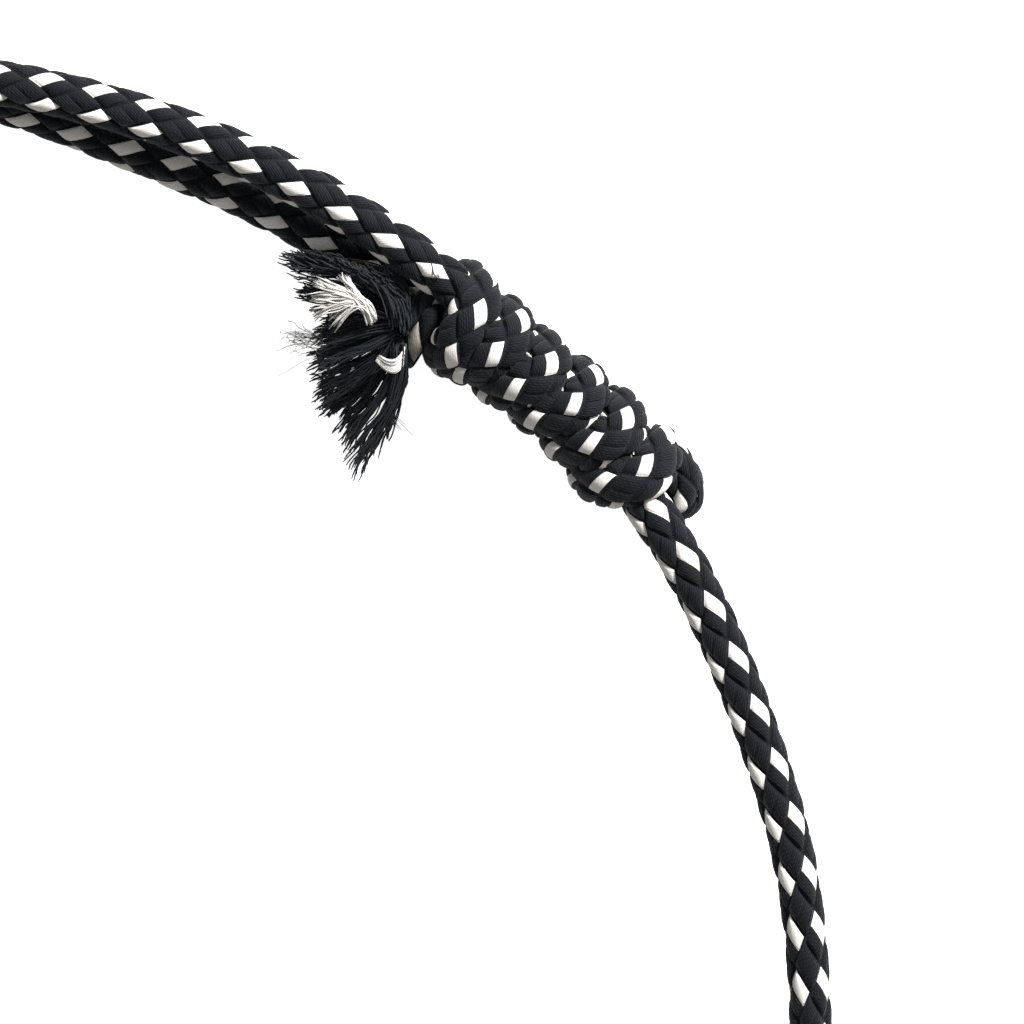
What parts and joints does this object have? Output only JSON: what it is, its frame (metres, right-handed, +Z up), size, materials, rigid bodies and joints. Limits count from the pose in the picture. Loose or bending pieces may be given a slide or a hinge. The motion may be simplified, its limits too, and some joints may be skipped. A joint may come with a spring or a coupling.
{
  "type": "rope halter",
  "caption": "Horse halter of braided rope with sliding barrel knots and frayed ends on the crown, a doubled noseband and a lead loop.",
  "frame": {"origin": "middle of the halter on the surface that it lies on", "axes": "+Y towards the crown, +X towards the right cheek as the halter lies, +Z up from the surface"},
  "size_m": [0.356, 0.6052, 0.026],
  "materials": {
    "rope": "tightly braided black cotton and polyester yarn with single white strands, matt with a soft sheen",
    "knot": "the same braided rope pulled tight into wraps",
    "fray": "loose twisted yarns, black with a few white ones"
  },
  "bodies": {
    "root": {"right_cheek_rope": "rope", "left_cheek_rope": "rope", "right_throat_knot": "knot", "left_throat_knot": "knot", "right_throat_rope": "rope", "left_throat_rope": "rope", "right_nose_knot": "knot", "left_nose_knot": "knot", "right_jaw_rope": "rope", "left_jaw_rope": "rope", "chin_knot": "knot"},
    "right_crown_knot": {"right_crown_coil": "knot", "right_crown_bight": "rope", "left_crown_rope": "rope"},
    "left_crown_knot": {"left_crown_coil": "knot", "left_crown_bight": "rope", "right_crown_rope": "rope"},
    "right_tail": {"right_frayed_end": "fray"},
    "left_tail": {"left_frayed_end": "fray"},
    "noseband": {"upper_nose_rope": "rope", "lower_nose_rope": "rope"},
    "lead_loop_body": {"lead_loop": "rope"}
  },
  "joints": [
    {"name": "right_knot_slide", "type": "hinge", "parent": "root", "child": "right_crown_knot", "pos_m": [0, 0.132, 0.0112], "axis": [0, 0, 1], "range_deg": [-4, 4]},
    {"name": "left_knot_slide", "type": "hinge", "parent": "root", "child": "left_crown_knot", "pos_m": [0, 0.132, 0.0112], "axis": [0, 0, -1], "range_deg": [-4, 4]},
    {"name": "right_tail_swing", "type": "hinge", "parent": "right_crown_knot", "child": "right_tail", "pos_m": [0.09478, 0.25376, 0.0112], "axis": [0, 0, 1], "range_deg": [0, 12]},
    {"name": "left_tail_swing", "type": "hinge", "parent": "left_crown_knot", "child": "left_tail", "pos_m": [-0.09478, 0.25376, 0.0112], "axis": [0, 0, -1], "range_deg": [0, 12]},
    {"name": "noseband_lift", "type": "hinge", "parent": "root", "child": "noseband", "pos_m": [0, -0.1, 0.013], "axis": [-1, 0, 0], "range_deg": [0, 120]},
    {"name": "lead_loop_lift", "type": "hinge", "parent": "root", "child": "lead_loop_body", "pos_m": [0, -0.2285, 0.013], "axis": [-1, 0, 0], "range_deg": [0, 90]}
  ]
}
